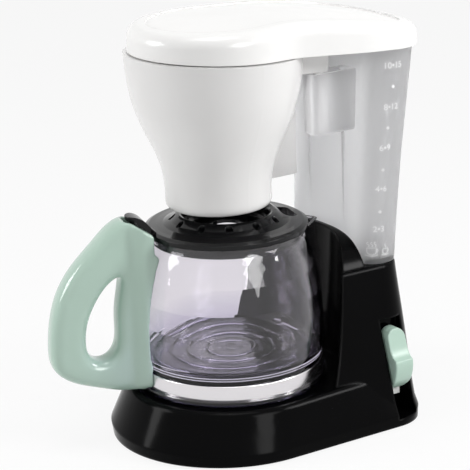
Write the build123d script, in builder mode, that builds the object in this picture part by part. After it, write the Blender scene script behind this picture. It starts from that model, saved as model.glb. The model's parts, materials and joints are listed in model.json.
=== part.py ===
"""Toy coffee maker: pump base, water tank, swinging filter holder and carafe.

Millimetres. Z is up and the resting plane is z = 0. The origin is on the axis
of the carafe. The front faces -Y and the water tank stands at +Y.
"""
from math import atan, cos, degrees, radians, sin
import os

from build123d import *

# ---- common ------------------------------------------------------------
WALL = 2.2
RUN = 0.3            # gap between pieces that move past each other
FIT = 0.06           # radial play of a shaft in its bore
SEAT = 0.1           # gap between fixed pieces
BIG = 400.0
SCREW_R = 1.2
PILOT_R = 1.22
HEAD_R = 2.7
HEAD_H = 1.6

# ---- base housing ------------------------------------------------------
SHELL_BOTTOM = 0.8
PLATFORM_Z = 26.6
DECK_Z = 80.5
# height, front radius, front centre y, half width, rear y, corner radius
PLATFORM = (
    (SHELL_BOTTOM, 59.5, -3.5, 60.6, 84.2, 21.0),
    (6.5, 60.0, -3.8, 60.9, 84.3, 21.0),
    (PLATFORM_Z, 54.0, 0.0, 51.0, 82.0, 20.0),
)
# height, half width in front, half width behind, rear y, corner radius
COLUMN = (
    (6.5, 56.0, 60.0, 84.0, 21.0),
    (24.0, 50.5, 54.5, 84.0, 20.0),
    (44.0, 44.5, 48.6, 84.0, 17.5),
    (64.0, 40.0, 42.6, 84.0, 15.5),
    (DECK_Z, 37.3, 38.0, 84.0, 14.0),
)
COLUMN_FRONT_Y = 24.0
COLUMN_FRONT_R = 5.0
RECESS_R = 57.5
# half width and height of the arch between the column's two arms
ARCH = ((0.0, 96.0), (15.0, 95.2), (24.0, 92.4), (30.0, 87.8), (34.5, 82.0), (36.9, 77.5),
        (38.2, 71.0))
ARCH_BACK_Y = 60.0
ARCH_FRONT_Y = 40.0
SHOULDER_R = 3.0
DECK_EDGE_R = 2.0

# ---- pump bay in the +X side -------------------------------------------
BAY_Y = (61.2, 74.8)
BAY_Z = (4.6, 54.0)
BAY_BACK_X = 41.0
BAY_WALL = 1.6
TRAVEL = 8.0
KNOB_X = (43.2, 57.0)
KNOB_Y = (62.4, 73.6)
KNOB_Z = (17.0, 49.5)
KNOB_EDGE_R = 0.8
# outline of the knob from the side: x and z over the corner at the wall
SCOOP = ((6.2, 32.5), (8.2, 25.5), (10.2, 20.4), (13.6, 17.2))
BELLY = ((13.6, 17.2), (13.9, 12.0), (11.8, 5.6), (8.0, 1.4), (4.4, 0.0))
STEM_X = (43.4, 48.0)
STEM_Y = (64.6, 71.4)
STEM_Z = (13.2, 47.0)
BRIDGE_Z = (38.0, 43.0)
KEY_Z = (30.0, 42.0)
KEY_T = 2.4          # the stem's key stands out this far into the knob
POST = (27.0, 68.0)
POST_R = 2.0
POST_TOP = 66.0
SLEEVE_R = 4.0
SLEEVE_TOP = 54.0
BELLOWS = (13.0, 68.0)
BELLOWS_R = 7.5

# ---- pump block and hoses ----------------------------------------------
BLOCK_TOP = 13.0
INLET = (-1.0, 72.2)
OUTLET = (-10.0, 72.2)
BARB_R = 2.0
BARB_H = 8.0
BORE_R = 1.2
HOSE_R = 3.0
BALL_R = 1.8

# ---- bottom cover ------------------------------------------------------
COVER_T = 2.0
COVER_Z = 1.4
BOSS_R = 4.0
BOSS_GAP = 4.0
COVER_BOSSES = ((34.0, -33.0), (-34.0, -33.0), (38.0, 34.0), (-38.0, 34.0))
FEET = ((0.0, 0.0), (0.0, -50.0), (46.0, 8.0), (-46.0, 8.0), (30.0, 72.0), (-30.0, 72.0))
FOOT_R = 6.0
FOOT_PLUG_R = 2.0

# ---- tilted plane of the lid -------------------------------------------
SLOPE = 0.053
LID_Z0 = 196.2       # lower edge of the lid at y = 0
TILT = degrees(atan(SLOPE))
LID_GAP = 0.6

# ---- water tank --------------------------------------------------------
TANK_WALL = 1.6
TANK_FLOOR = 2.0
# height, half width, front y, rear y, corner radius
TANK = (
    (DECK_Z, 36.0, 60.8, 83.8, 11.0),
    (108.0, 36.6, 62.0, 86.0, 11.6),
    (140.0, 37.6, 63.4, 89.2, 12.4),
    (170.0, 38.4, 64.8, 93.0, 13.0),
    (204.0, 39.4, 66.6, 97.0, 13.5),
)
RIB_X = 14.5
RIB_TOP = 147.0
TANK_SCREWS = ((26.0, 74.0), (-26.0, 74.0))
TANK_BOSS_H = 12.0
SPIGOT_R = 4.6
SPIGOT_DROP = 8.0

# ---- swing hinge of the filter holder ----------------------------------
SWING = (18.0, 46.5)
PEG_R = 2.4
PEG_LENGTH = 43.0
TUBE_R = 4.4
POCKET_X = (12.6, 23.4)
POCKET_FRONT_Y = 39.4
POCKET_Z = (149.5, 181.0)
POCKET_WALL = 1.5
ARM_X = (1.5, 21.5)
ARM_Y = (30.0, 51.8)
ARM_DROP = 11.6

# ---- filter holder -----------------------------------------------------
FUNNEL_Y = -4.0
DRIP_GAP = 4.4       # from the collar of the carafe lid up to the funnel
# radius and height over the funnel's underside
FUNNEL = ((26.8, 4.4), (27.0, 13.4), (28.9, 22.9), (32.6, 32.4), (36.9, 41.9),
          (41.2, 54.4), (43.4, 67.4), (44.6, 84.4), (45.6, 104.0))
FUNNEL_EDGE_R = 3.4
FUNNEL_WALL = 1.8
DRIP_R = 5.0
FIN_X = -21.0
FIN_T = 2.0
FIN_END_Y = 58.0
FIN_RISE = 0.2       # the fin ends this far over the funnel's underside
LEDGE_T = 2.2        # rim ledge that the lid's skirt lies over
LEDGE_W = 0.8        # and how far it reaches in past the skirt

# ---- tank lid ----------------------------------------------------------
LID_FRONT_R = 42.3
LID_FRONT_TURN = 12.0
# half width and y of the side, from the waist to the bulge over the tank
LID_SIDE = ((38.9, 19.5), (40.4, 35.0), (42.9, 52.0))
LID_HALF_W = 44.2
LID_REAR_Y = 101.5
LID_REAR_R = 27.0
LID_H = 18.0
LID_DOME_R = 420.0
LID_CROWN_Y = 22.0
LID_EDGE_R = 6.5
LID_WALL = 2.2
DISH_INSET = 9.0
DISH_DEPTH = 0.7
HINGE_Y = 99.0
HINGE_DROP = 3.2
HINGE_R = 2.6
HINGE_PIN_R = 1.1
HINGE_LUG_X = (9.0, 13.0)
HINGE_PIN_HALF = 13.4

# ---- spray spout -------------------------------------------------------
SPRAY_CLEAR = 1.0    # from the rim of the filter holder up to the spout's mouth
SPRAY_STEM = 9.4     # straight length of the spout over the riser tube
SPRAY_Y = 14.0
SPRAY_BEND = 6.0
SPRAY_R = 2.8
SPRAY_BORE = 1.9

# ---- carafe ------------------------------------------------------------
CARAFE_Z = PLATFORM_Z + RUN
GLASS = 1.7
FOOT_TOP = 39.4
BOWL = ((46.4, 39.5), (47.3, 44.0), (47.7, 52.0), (47.6, 61.0), (46.6, 73.0),
        (44.2, 86.0), (41.0, 97.0), (39.2, 102.0), (39.0, 105.4))
FOOT_R_OUT = 49.0
FOOT_NECK_R = 46.2
BAND_Z = (29.8, 37.6)
BAND_T = 1.0
FLOOR_Z = 41.5
SPOUT_TIP_R = 49.0
SPOUT_DROP = 1.0
SPOUT_H = 11.0
HANDLE_AZ = -15.0
GRIP_HALF = 7.6
RIM_Z = BOWL[-1][1]
HANDLE = ((38.0, 30.6), (47.0, 28.4), (56.0, 28.0), (73.0, 32.0), (87.0, 37.6), (93.6, 44.5),
          (94.6, 53.0), (93.8, 63.0), (90.0, 79.0), (81.4, 93.6), (69.0, 106.4),
          (58.5, RIM_Z + 10.0), (54.0, RIM_Z + 11.6))
HANDLE_TOP = ((50.6, RIM_Z + 9.8), (41.6, RIM_Z + 3.8), (41.6, RIM_Z - 5.4), (38.0, RIM_Z - 9.4),
              (34.0, 40.0))
FINGER = ((59.0, 88.6), (63.6, 85.6), (70.6, 77.0), (75.2, 67.6), (77.0, 57.6), (75.8, 49.4),
          (71.0, 45.4), (64.6, 46.6), (61.2, 51.0), (60.0, 62.0), (58.4, 78.0))
# distance from the axis and half width where the handle widens onto the bowl
PAD_FLARE = ((45.0, 13.0), (48.6, 11.7), (52.2, 9.1), (55.8, GRIP_HALF))
HANDLE_EDGE_R = 4.4
HANDLE_PEG_Z = (52.0, 80.0)
HANDLE_PEG_R = 3.0
HANDLE_PEG_END = 51.5

# ---- carafe lid --------------------------------------------------------
CLID_BASE = RIM_Z + 0.2
CLID_RIM_R = 41.0
CLID_PLUG_R = BOWL[-1][0] - GLASS - 0.2
CLID_COLLAR = 8.6
# radius and height over the bowl's rim
CLID_TOP = ((7.0, 1.8), (19.0, 1.0), (20.6, 2.2), (21.8, 6.8), (22.8, 8.2), (24.0, CLID_COLLAR),
            (25.4, 8.0), (28.2, 5.6), (32.0, 4.0), (36.0, 3.5), (39.0, 3.3), (CLID_RIM_R, 2.3))
CLID_UNDER = ((CLID_RIM_R, 0.0), (CLID_PLUG_R, 0.0), (CLID_PLUG_R - 0.6, -5.6),
              (CLID_PLUG_R - 2.2, -5.6), (CLID_PLUG_R - 1.6, 1.6), (30.0, 2.0), (24.6, 5.2),
              (23.4, 5.2), (20.6, -0.8), (7.0, 0.0))
CLID_PIN = (46.5, 3.0)
CLID_PIN_R = 1.0
CLID_PIN_HALF = 7.1
CLID_LUG_R = 2.6
TAB_HALF = 5.2
TAB_UNDER = ((38.0, 1.4), (43.0, 3.6), (47.6, 7.0), (52.6, 10.6))
TAB_OVER = ((52.6, 12.2), (48.8, 12.2), (44.8, 10.4), (41.6, 7.0), (38.0, 3.3))
TAB_SLOT = ((41.0, -1.0), (50.0, -1.0), (53.8, 8.0), (53.8, 25.0), (41.0, 25.0))
NOTCH_R = (26.6, 35.4)
NOTCH_HALF = 9.0
STEAM_SLOTS = 12
STEAM_SLOT_AT = 27.2
STEAM_SLOT_R = 1.9

FUNNEL_BOTTOM = CLID_BASE + CLID_COLLAR + DRIP_GAP


def lid_plane(drop=0.0):
    """Plane of the lid's lower edge, moved down along its normal by drop."""
    level = Plane(origin=(0, 0, LID_Z0), x_dir=(1, 0, 0), z_dir=(0, SLOPE, 1))
    return level.offset(-drop)


def trim_above(drop):
    """Take away everything above the lid plane lowered by drop."""
    with BuildSketch(lid_plane(drop)) as cut:
        Rectangle(BIG, BIG)
    extrude(cut.sketch, amount=BIG / 2, mode=Mode.SUBTRACT)


def hull_outline(front_r, front_y, half_w, rear_y, rear_r):
    """Round front and two rounded rear corners, with straight sides."""
    with Locations((0, front_y)):
        Circle(front_r)
    with Locations((half_w - rear_r, rear_y - rear_r), (rear_r - half_w, rear_y - rear_r)):
        Circle(rear_r)
    make_hull()


def column_outline(front_w, rear_w, rear_y, rear_r, inset):
    """Trapezoid with rounded corners."""
    front_r = COLUMN_FRONT_R
    front_y = COLUMN_FRONT_Y + front_r
    corner = rear_r - inset
    with Locations((front_w - inset - front_r, front_y), (front_r - front_w + inset, front_y)):
        Circle(front_r)
    with Locations((rear_w - rear_r, rear_y - rear_r), (rear_r - rear_w, rear_y - rear_r)):
        Circle(corner)
    make_hull()


def base_solid(inset):
    """Outer form of the housing, or its hollow when inset is the wall."""
    bottom = SHELL_BOTTOM if inset == 0 else 0.0
    with BuildPart() as low:
        for z, front_r, front_y, half_w, rear_y, rear_r in PLATFORM:
            height = bottom if z == SHELL_BOTTOM else z
            height = height - inset if z == PLATFORM_Z else height
            with BuildSketch(Plane.XY.offset(height)):
                hull_outline(front_r - inset, front_y, half_w - inset, rear_y - inset, rear_r - inset)
        loft(ruled=True)
        if inset == 0:
            fillet(low.faces().sort_by(Axis.Z)[-1].edges(), SHOULDER_R)
    with BuildPart() as high:
        for z, front_w, rear_w, rear_y, rear_r in COLUMN:
            height = z - inset if z == DECK_Z else z
            with BuildSketch(Plane.XY.offset(height)):
                column_outline(front_w, rear_w, rear_y, rear_r, inset)
        loft()
        if inset == 0:
            fillet(high.faces().sort_by(Axis.Z)[-1].edges(), DECK_EDGE_R)
            with BuildSketch(Plane.XZ.offset(-ARCH_BACK_Y)):
                arch = [(-x, z) for x, z in ARCH[:0:-1]] + list(ARCH)
                with BuildLine():
                    Spline(*arch)
                    Line(arch[-1], arch[0])
                make_face()
            extrude(amount=ARCH_BACK_Y - ARCH_FRONT_Y)
        with Locations((0, 0, PLATFORM_Z - inset)):
            Cylinder(RECESS_R + inset, BIG, align=(Align.CENTER, Align.CENTER, Align.MIN),
                     mode=Mode.SUBTRACT)
    return low.part + high.part


def box(x, y, z, mode=Mode.ADD):
    """Box between two bounds on each axis."""
    with Locations(((x[0] + x[1]) / 2, (y[0] + y[1]) / 2, (z[0] + z[1]) / 2)):
        return Box(x[1] - x[0], y[1] - y[0], z[1] - z[0], mode=mode)


def rod(x, y, z0, z1, radius, mode=Mode.ADD):
    """Upright cylinder between two heights."""
    with Locations((x, y, z0)):
        return Cylinder(radius, z1 - z0, align=(Align.CENTER, Align.CENTER, Align.MIN), mode=mode)


def save(part, label):
    """Label a piece and write its STEP file."""
    part.label = label
    export_step(part, f"parts/{label}.step")


os.makedirs("parts", exist_ok=True)

# ======================================================================
# Base housing
# ======================================================================
COVER_TOP = COVER_Z + COVER_T
BOSS_BOTTOM = COVER_TOP + BOSS_GAP
BAY_FRONT_X = 70.0
SLOT_Y = (STEM_Y[0] - RUN, STEM_Y[1] + RUN)
SLOT_Z = (BRIDGE_Z[0] - TRAVEL - RUN, BRIDGE_Z[1] + RUN)

outer = base_solid(0.0)
hollow = base_solid(WALL)

with BuildPart() as bay_walls:
    box((BAY_BACK_X - BAY_WALL, BAY_FRONT_X), (BAY_Y[0] - BAY_WALL, BAY_Y[1] + BAY_WALL),
        (BAY_Z[0] - BAY_WALL, BAY_Z[1] + BAY_WALL))
with BuildPart() as base_shell:
    add(outer)
    add(hollow - bay_walls.part, mode=Mode.SUBTRACT)
    for px, py in COVER_BOSSES:
        rod(px, py, BOSS_BOTTOM, PLATFORM_Z - WALL / 2, BOSS_R)
        rod(px, py, BOSS_BOTTOM, PLATFORM_Z - WALL - 6, PILOT_R, Mode.SUBTRACT)
    box((BAY_BACK_X, BAY_FRONT_X), BAY_Y, BAY_Z, Mode.SUBTRACT)
    box((BAY_BACK_X - BAY_WALL, BAY_FRONT_X), SLOT_Y, SLOT_Z, Mode.SUBTRACT)
    for px, py in TANK_SCREWS:
        rod(px, py, DECK_Z - WALL - 1, DECK_Z + 1, SCREW_R + 0.3, Mode.SUBTRACT)
    for px, py in (INLET, OUTLET):
        rod(px, py, DECK_Z - WALL - 1, DECK_Z + 1, SPIGOT_R + SEAT, Mode.SUBTRACT)
save(base_shell.part, "base_shell")

# ======================================================================
# Bottom cover, its screws and the feet
# ======================================================================
COVER_INSET = WALL + 0.3
_, c_front_r, c_front_y, c_half_w, c_rear_y, c_rear_r = PLATFORM[0]
with BuildPart() as bottom_cover:
    with BuildSketch(Plane.XY.offset(COVER_Z)):
        hull_outline(c_front_r - COVER_INSET, c_front_y, c_half_w - COVER_INSET,
                     c_rear_y - COVER_INSET, c_rear_r - COVER_INSET)
    extrude(amount=COVER_T)
    for px, py in COVER_BOSSES:
        rod(px, py, COVER_Z, BOSS_BOTTOM - SEAT, BOSS_R)
        rod(px, py, COVER_Z - 1, COVER_Z + HEAD_H + 0.6, HEAD_R + 0.3, Mode.SUBTRACT)
        rod(px, py, COVER_Z - 1, BOSS_BOTTOM, SCREW_R + 0.3, Mode.SUBTRACT)
    for px, py in FEET:
        rod(px, py, COVER_Z - 1, COVER_TOP + 1, FOOT_PLUG_R, Mode.SUBTRACT)
    box((BAY_BACK_X - BAY_WALL - 1, 62.0), (BAY_Y[0] - BAY_WALL - 1, BAY_Y[1] + BAY_WALL + 1),
        (BAY_Z[0] - BAY_WALL - 0.2, COVER_TOP + 1), Mode.SUBTRACT)
save(bottom_cover.part, "bottom_cover")

with BuildPart() as cover_screws:
    head_z = COVER_Z + 0.5
    for px, py in COVER_BOSSES:
        rod(px, py, head_z, head_z + HEAD_H, HEAD_R)
        rod(px, py, head_z + HEAD_H, BOSS_BOTTOM + 9.0, SCREW_R)
        box((px - 1.9, px + 1.9), (py - 0.35, py + 0.35), (head_z - 1, head_z + 0.8), Mode.SUBTRACT)
        box((px - 0.35, px + 0.35), (py - 1.9, py + 1.9), (head_z - 1, head_z + 0.8), Mode.SUBTRACT)
save(cover_screws.part, "cover_screws")

with BuildPart() as rubber_feet:
    for px, py in FEET:
        rod(px, py, 0.0, COVER_Z - 0.02, FOOT_R)
        rod(px, py, COVER_Z - 0.5, COVER_TOP - SEAT, FOOT_PLUG_R - 0.02)
save(rubber_feet.part, "rubber_feet")

# ======================================================================
# Hand pump
# ======================================================================
BLOCK_X = (-16.0, 34.0)
BLOCK_Y = (60.4, 77.6)
BLOCK_BOTTOM = COVER_TOP + 0.05
BALL_Z = BLOCK_TOP - 3.2
POST_FOOT = BLOCK_BOTTOM + 2.0
with BuildPart() as pump_block:
    box(BLOCK_X, BLOCK_Y, (BLOCK_BOTTOM, BLOCK_TOP))
    fillet(pump_block.edges().filter_by(Axis.Z), 3.0)
    for px, py in (INLET, OUTLET):
        rod(px, py, BLOCK_TOP, BLOCK_TOP + BARB_H, BARB_R)
        rod(px, py, 6.5, BLOCK_TOP + BARB_H + 1, BORE_R, Mode.SUBTRACT)
        rod(px, py, BALL_Z - BALL_R - 0.3, BALL_Z + BALL_R + 0.3, BALL_R + 0.3, Mode.SUBTRACT)
    with Locations(Location((OUTLET[0], OUTLET[1], 6.5), (0, 90, 0))):
        Cylinder(BORE_R, BELLOWS[0] - OUTLET[0],
                 align=(Align.CENTER, Align.CENTER, Align.MIN), mode=Mode.SUBTRACT)
    rod(BELLOWS[0], BELLOWS[1], 5.6, BLOCK_TOP + 1, 2.5, Mode.SUBTRACT)
    rod(POST[0], POST[1], POST_FOOT, BLOCK_TOP + 1, POST_R + 0.02, Mode.SUBTRACT)
save(pump_block.part, "pump_block")

with BuildPart() as valve_balls:
    for px, py in (INLET, OUTLET):
        with Locations((px, py, BALL_Z - 0.2)):
            Sphere(BALL_R)
save(valve_balls.part, "valve_balls")

with BuildPart() as guide_post:
    rod(POST[0], POST[1], POST_FOOT + 0.05, POST_TOP, POST_R)
    chamfer(guide_post.edges().sort_by(Axis.Z)[-1], 0.5)
save(guide_post.part, "guide_post")

FOLDS = 5
FOLD_H = (BRIDGE_Z[0] - BLOCK_TOP - 0.2) / FOLDS
with BuildPart() as pump_bellows:
    with BuildSketch(Plane.XZ.offset(-BELLOWS[1])):
        with BuildLine():
            folds = [(BELLOWS[0] + 3.0, BLOCK_TOP + 0.1)]
            for i in range(FOLDS):
                z0 = BLOCK_TOP + 0.1 + i * FOLD_H
                folds.append((BELLOWS[0] + BELLOWS_R - 2.0, z0))
                folds.append((BELLOWS[0] + BELLOWS_R, z0 + FOLD_H / 2))
            folds.append((BELLOWS[0] + BELLOWS_R - 2.0, BRIDGE_Z[0] - 0.1))
            folds.append((BELLOWS[0], BRIDGE_Z[0] - 0.1))
            folds.append((BELLOWS[0], BRIDGE_Z[0] - 1.3))
            folds.append((BELLOWS[0] + BELLOWS_R - 3.2, BRIDGE_Z[0] - 1.3))
            for i in reversed(range(FOLDS)):
                z0 = BLOCK_TOP + 0.1 + i * FOLD_H
                folds.append((BELLOWS[0] + BELLOWS_R - 1.2, z0 + FOLD_H / 2))
                folds.append((BELLOWS[0] + BELLOWS_R - 3.2, z0 + (1.2 if i == 0 else 0.0)))
            folds.append((BELLOWS[0] + 3.0, BLOCK_TOP + 1.3))
            Polyline(*folds, close=True)
        make_face()
    revolve(axis=Axis((BELLOWS[0], BELLOWS[1], 0), (0, 0, 1)))
save(pump_bellows.part, "pump_bellows")

SPRING_R = 3.3
SPRING_WIRE = 0.45
SPRING_Z = (BLOCK_TOP + SPRING_WIRE + 0.05, BRIDGE_Z[0] - SPRING_WIRE - 0.05)
with BuildPart() as return_spring:
    with BuildLine(Plane((POST[0], POST[1], SPRING_Z[0]))) as coil:
        Helix(pitch=(SPRING_Z[1] - SPRING_Z[0]) / 7, height=SPRING_Z[1] - SPRING_Z[0], radius=SPRING_R)
    with BuildSketch(Plane(origin=coil.line @ 0, z_dir=coil.line % 0)):
        Circle(SPRING_WIRE)
    sweep()
save(return_spring.part, "return_spring")

with BuildPart() as inlet_hose:
    rod(INLET[0], INLET[1], BLOCK_TOP + 0.3, DECK_Z - WALL - 1.2, HOSE_R)
    rod(INLET[0], INLET[1], BLOCK_TOP, DECK_Z, BARB_R + 0.02, Mode.SUBTRACT)
save(inlet_hose.part, "inlet_hose")

with BuildPart() as outlet_hose:
    rod(OUTLET[0], OUTLET[1], BLOCK_TOP + 0.3, DECK_Z - WALL - 1.2, HOSE_R)
    rod(OUTLET[0], OUTLET[1], BLOCK_TOP, DECK_Z, BARB_R + 0.02, Mode.SUBTRACT)
save(outlet_hose.part, "outlet_hose")

with BuildPart() as pump_slider:
    box(STEM_X, STEM_Y, STEM_Z)
    box((BELLOWS[0], STEM_X[1]), STEM_Y, BRIDGE_Z)
    rod(BELLOWS[0], BELLOWS[1], BRIDGE_Z[0], BRIDGE_Z[1], BELLOWS_R)
    rod(POST[0], POST[1], BRIDGE_Z[0], SLEEVE_TOP, SLEEVE_R)
    rod(POST[0], POST[1], BRIDGE_Z[0] - 1, SLEEVE_TOP + 1, POST_R + FIT, Mode.SUBTRACT)
    box((STEM_X[1] - 0.1, STEM_X[1] + KEY_T), (STEM_Y[0] + 1.4, STEM_Y[1] - 1.4), KEY_Z)
save(pump_slider.part, "pump_slider")

KNOB_W = KNOB_Y[1] - KNOB_Y[0]
KNOB_H = KNOB_Z[1] - KNOB_Z[0]
with BuildPart() as pump_knob:
    with BuildSketch(Plane.XZ.offset(-KNOB_Y[1])):
        with BuildLine():
            Spline(*[(KNOB_X[0] + x, KNOB_Z[0] + z) for x, z in SCOOP], tangents=((0.25, -1), (1, -0.4)))
            Spline(*[(KNOB_X[0] + x, KNOB_Z[0] + z) for x, z in BELLY], tangents=((0.45, -1), (-1, -0.15)))
            Polyline((KNOB_X[0] + BELLY[-1][0], KNOB_Z[0]), (KNOB_X[0], KNOB_Z[0]),
                     (KNOB_X[0], KNOB_Z[1]), (KNOB_X[0] + SCOOP[0][0], KNOB_Z[1]))
        make_face()
    extrude(amount=KNOB_W)
    with BuildSketch(Plane.YZ.offset(KNOB_X[0] - 1)):
        with Locations(((KNOB_Y[0] + KNOB_Y[1]) / 2, (KNOB_Z[0] + KNOB_Z[1]) / 2)):
            RectangleRounded(KNOB_W, KNOB_H, KNOB_W / 2 - 0.1)
    extrude(amount=KNOB_X[1] - KNOB_X[0] + 4, mode=Mode.INTERSECT)
    fillet(pump_knob.edges().filter_by(lambda e: e.center().X > KNOB_X[0] + 1), KNOB_EDGE_R)
    box((STEM_X[0] - 1, STEM_X[1] + SEAT), (STEM_Y[0] - SEAT, STEM_Y[1] + SEAT),
        (STEM_Z[0], STEM_Z[1] + SEAT), Mode.SUBTRACT)
    box((STEM_X[1], STEM_X[1] + KEY_T + SEAT), (STEM_Y[0] + 1.3, STEM_Y[1] - 1.3),
        (KEY_Z[0] - SEAT, KEY_Z[1] + SEAT), Mode.SUBTRACT)
save(pump_knob.part, "pump_knob")

# ======================================================================
# Water tank
# ======================================================================
HINGE_Z = LID_Z0 - SLOPE * HINGE_Y - HINGE_DROP
SPIGOT_BOTTOM = DECK_Z - SPIGOT_DROP
SPRAY_MOUTH = LID_Z0 - SLOPE * (SPRAY_Y - SPRAY_R) - LID_GAP + SPRAY_CLEAR
SPRAY_Z = SPRAY_MOUTH + SPRAY_BEND
RISER_TOP = SPRAY_MOUTH - SPRAY_STEM
RISER_R = HOSE_R - 0.4


def tank_solid(inset, floor):
    """Outer form of the tank, or its hollow."""
    with BuildPart() as body:
        for z, half_w, front_y, rear_y, corner in TANK:
            with BuildSketch(Plane.XY.offset(z + floor if z == DECK_Z else z)):
                with Locations((0, (front_y + rear_y) / 2)):
                    RectangleRounded(2 * (half_w - inset), rear_y - front_y - 2 * inset, corner - inset)
        loft()
    return body.part


SWING_PLANE = Plane(origin=(SWING[0], SWING[1], LID_Z0 - SLOPE * SWING[1]), x_dir=(1, 0, 0),
                    z_dir=(0, SLOPE, 1))
TUBE_TOP = 15.5
with BuildPart() as pocket_outer:
    box(POCKET_X, (POCKET_FRONT_Y, 70.0), POCKET_Z)
    fillet(pocket_outer.edges().filter_by(Axis.Z).group_by(Axis.Y)[0], 2.5)
    fillet(pocket_outer.faces().sort_by(Axis.Y)[0].edges().sort_by(Axis.Z)[0], 2.0)
with BuildPart() as pocket_inner:
    box((POCKET_X[0] + POCKET_WALL, POCKET_X[1] - POCKET_WALL),
        (POCKET_FRONT_Y + POCKET_WALL, 61.6), (POCKET_Z[0] + POCKET_WALL, POCKET_Z[1] + 1))
with BuildPart() as water_tank:
    add(tank_solid(0.0, 0.0))
    add(pocket_outer.part - pocket_inner.part)
    add(tank_solid(TANK_WALL, TANK_FLOOR), mode=Mode.SUBTRACT)
    with BuildSketch(SWING_PLANE.offset(-TUBE_TOP)):
        Circle(TUBE_R)
    extrude(amount=-(PEG_LENGTH - TUBE_TOP + 0.4))
    with BuildSketch(SWING_PLANE.offset(10)):
        Circle(PEG_R + FIT)
    extrude(amount=-(PEG_LENGTH + 10 + RUN), mode=Mode.SUBTRACT)
    for side in (-1, 1):
        box((side * RIB_X - 0.6, side * RIB_X + 0.6), (61.6, 65.4), (DECK_Z + 1, RIB_TOP))
    for px, py in TANK_SCREWS:
        rod(px, py, DECK_Z + 1, DECK_Z + TANK_BOSS_H, BOSS_R)
        rod(px, py, DECK_Z - 1, DECK_Z + TANK_BOSS_H - 2, PILOT_R, Mode.SUBTRACT)
    for px, py in (INLET, OUTLET):
        rod(px, py, SPIGOT_BOTTOM, DECK_Z + 1, BARB_R)
        rod(px, py, DECK_Z, DECK_Z + TANK_FLOOR, HOSE_R)
        rod(px, py, SPIGOT_BOTTOM - 1, DECK_Z + TANK_FLOOR + 1, BORE_R, Mode.SUBTRACT)
    rod(OUTLET[0], OUTLET[1], DECK_Z + 1, DECK_Z + 10, HOSE_R + 1.4)
    rod(OUTLET[0], OUTLET[1], DECK_Z + 4, DECK_Z + 11, RISER_R + SEAT, Mode.SUBTRACT)
    rod(OUTLET[0], OUTLET[1], DECK_Z, DECK_Z + 5, BORE_R, Mode.SUBTRACT)
    trim_above(LID_GAP)
    with BuildSketch(Plane.YZ.offset(-HINGE_LUG_X[0] + RUN)):
        with Locations((HINGE_Y, HINGE_Z)):
            Circle(HINGE_R)
        with BuildLine():
            Polyline((HINGE_Y, HINGE_Z + HINGE_R), (93.6, HINGE_Z + 1.6), (93.6, HINGE_Z - 9),
                     (HINGE_Y + 1.6, HINGE_Z - 2), close=True)
        make_face()
    extrude(amount=2 * (HINGE_LUG_X[0] - RUN))
    with Locations(Location((0, HINGE_Y, HINGE_Z), (0, 90, 0))):
        Cylinder(HINGE_PIN_R + 0.02, 40, mode=Mode.SUBTRACT)
save(water_tank.part, "water_tank")

with BuildPart() as tank_screws:
    head_z = DECK_Z - WALL - HEAD_H - 0.05
    for px, py in TANK_SCREWS:
        rod(px, py, head_z, head_z + HEAD_H, HEAD_R)
        rod(px, py, head_z + HEAD_H, DECK_Z + TANK_BOSS_H - 3, SCREW_R)
        box((px - 1.9, px + 1.9), (py - 0.35, py + 0.35), (head_z - 1, head_z + 0.8), Mode.SUBTRACT)
        box((px - 0.35, px + 0.35), (py - 1.9, py + 1.9), (head_z - 1, head_z + 0.8), Mode.SUBTRACT)
save(tank_screws.part, "tank_screws")

with BuildPart() as tank_gaskets:
    for px, py in (INLET, OUTLET):
        rod(px, py, DECK_Z - WALL, DECK_Z - SEAT / 2, SPIGOT_R)
        rod(px, py, DECK_Z - WALL - 1, DECK_Z + 1, BARB_R + 0.02, Mode.SUBTRACT)
save(tank_gaskets.part, "tank_gaskets")

with BuildPart() as riser_tube:
    rod(OUTLET[0], OUTLET[1], DECK_Z + 4.1, RISER_TOP, RISER_R)
    rod(OUTLET[0], OUTLET[1], DECK_Z, RISER_TOP + 1, SPRAY_BORE, Mode.SUBTRACT)
save(riser_tube.part, "riser_tube")

SOCKET_H = 6.0
with BuildPart() as spray_spout:
    with BuildLine():
        Line((OUTLET[0], OUTLET[1], RISER_TOP + 0.1), (OUTLET[0], OUTLET[1], SPRAY_MOUTH))
        Spline((OUTLET[0], OUTLET[1], SPRAY_MOUTH), (OUTLET[0], OUTLET[1] - SPRAY_BEND, SPRAY_Z),
               tangents=((0, 0, 1), (0, -1, 0)))
        Line((OUTLET[0], OUTLET[1] - SPRAY_BEND, SPRAY_Z), (OUTLET[0], SPRAY_Y + SPRAY_BEND, SPRAY_Z))
        Spline((OUTLET[0], SPRAY_Y + SPRAY_BEND, SPRAY_Z), (OUTLET[0], SPRAY_Y, SPRAY_MOUTH),
               tangents=((0, -1, 0), (0, 0, -1)))
    with BuildSketch(Plane.XY.offset(RISER_TOP + 0.1)):
        with Locations(OUTLET):
            Circle(SPRAY_R)
            Circle(SPRAY_BORE, mode=Mode.SUBTRACT)
    sweep()
    rod(OUTLET[0], OUTLET[1], RISER_TOP - SOCKET_H, RISER_TOP + 3, HOSE_R + 0.9)
    rod(OUTLET[0], OUTLET[1], RISER_TOP - SOCKET_H - 1, RISER_TOP + 0.1, RISER_R + SEAT, Mode.SUBTRACT)
    rod(OUTLET[0], OUTLET[1], RISER_TOP, RISER_TOP + 4, SPRAY_BORE, Mode.SUBTRACT)
save(spray_spout.part, "spray_spout")

# ======================================================================
# Filter holder
# ======================================================================
FUNNEL_RIM_DROP = LID_GAP


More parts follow.
